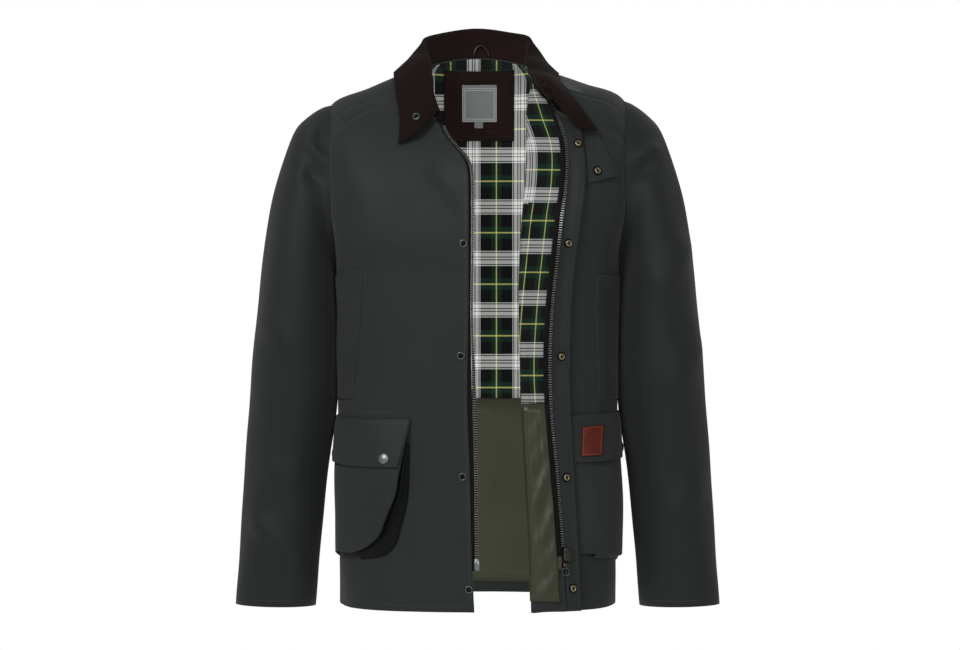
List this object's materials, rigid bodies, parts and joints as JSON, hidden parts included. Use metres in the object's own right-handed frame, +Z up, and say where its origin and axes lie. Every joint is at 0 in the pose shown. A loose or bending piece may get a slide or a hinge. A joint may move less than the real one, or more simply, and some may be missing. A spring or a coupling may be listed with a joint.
{
  "type": "waxed cotton country jacket",
  "caption": "Waxed cotton country jacket worn open, with a corduroy collar, lined body, storm fly, two-way zip, handwarmer welts and flapped bag pockets.",
  "frame": {"origin": "middle of the neck hollow, level with the shoulders that carry the jacket", "axes": "+Z up, -Y the way the wearer faces, +X towards the wearer's left"},
  "size_m": [0.683, 0.2935, 0.8244],
  "materials": {
    "waxed_cotton": "waxed plain-weave cotton, dark green-grey, low sheen",
    "corduroy": "cotton corduroy, dark brown, wales along the collar",
    "tartan_cotton": "brushed cotton in a traditional green, black, white and yellow tartan check",
    "olive_nylon": "smooth olive nylon twill lining, soft sheen",
    "zip_tape": "black woven zip tape",
    "label_cloth": "bare woven label, pale grey",
    "leather": "red-brown leather, stitched rim",
    "aged_brass": "aged brass, satin",
    "gunmetal": "dark gunmetal-plated brass, satin"
  },
  "bodies": {
    "coat": {"back": "waxed_cotton", "front_left": "waxed_cotton", "front_right": "waxed_cotton", "sleeve_left": "waxed_cotton", "sleeve_right": "waxed_cotton", "storm_fly": "waxed_cotton", "throat_tab": "waxed_cotton", "handwarmer_welt_left": "waxed_cotton", "handwarmer_welt_right": "waxed_cotton", "pocket_front_left": "waxed_cotton", "pocket_front_right": "waxed_cotton", "pocket_gusset_left": "waxed_cotton", "pocket_gusset_right": "waxed_cotton", "pocket_flap_left": "waxed_cotton", "pocket_flap_right": "waxed_cotton", "collar": "corduroy", "neck_patch": "corduroy", "lining_back_upper": "tartan_cotton", "lining_left_upper": "tartan_cotton", "lining_right_upper": "tartan_cotton", "lining_back_lower": "olive_nylon", "lining_left_lower": "olive_nylon", "lining_right_lower": "olive_nylon", "woven_label": "label_cloth", "size_tab": "label_cloth", "leather_patch": "leather", "hanger_loop": "corduroy", "zip_tape_left": "zip_tape", "zip_tape_right": "zip_tape", "zip_chain_left": "aged_brass", "zip_chain_right": "aged_brass", "zip_slider": "aged_brass", "zip_box": "aged_brass", "zip_pin": "aged_brass", "snap_socket_1": "aged_brass", "snap_socket_2": "aged_brass", "snap_socket_3": "aged_brass", "snap_socket_4": "aged_brass", "snap_socket_5": "aged_brass", "snap_socket_tab": "aged_brass", "snap_stud_1": "gunmetal", "snap_stud_2": "gunmetal", "snap_stud_3": "gunmetal", "snap_stud_4": "gunmetal", "snap_stud_collar": "gunmetal", "snap_cap_right": "gunmetal", "snap_cap_side_left": "gunmetal", "snap_cap_side_right": "gunmetal"},
    "pull": {"zip_pull": "gunmetal"}
  },
  "joints": [
    {"name": "pull_hinge", "type": "hinge", "parent": "coat", "child": "pull", "pos_m": [0.12013, -0.14108, -0.68055], "axis": [-1, 0, 0], "range_deg": [0, 120]}
  ]
}
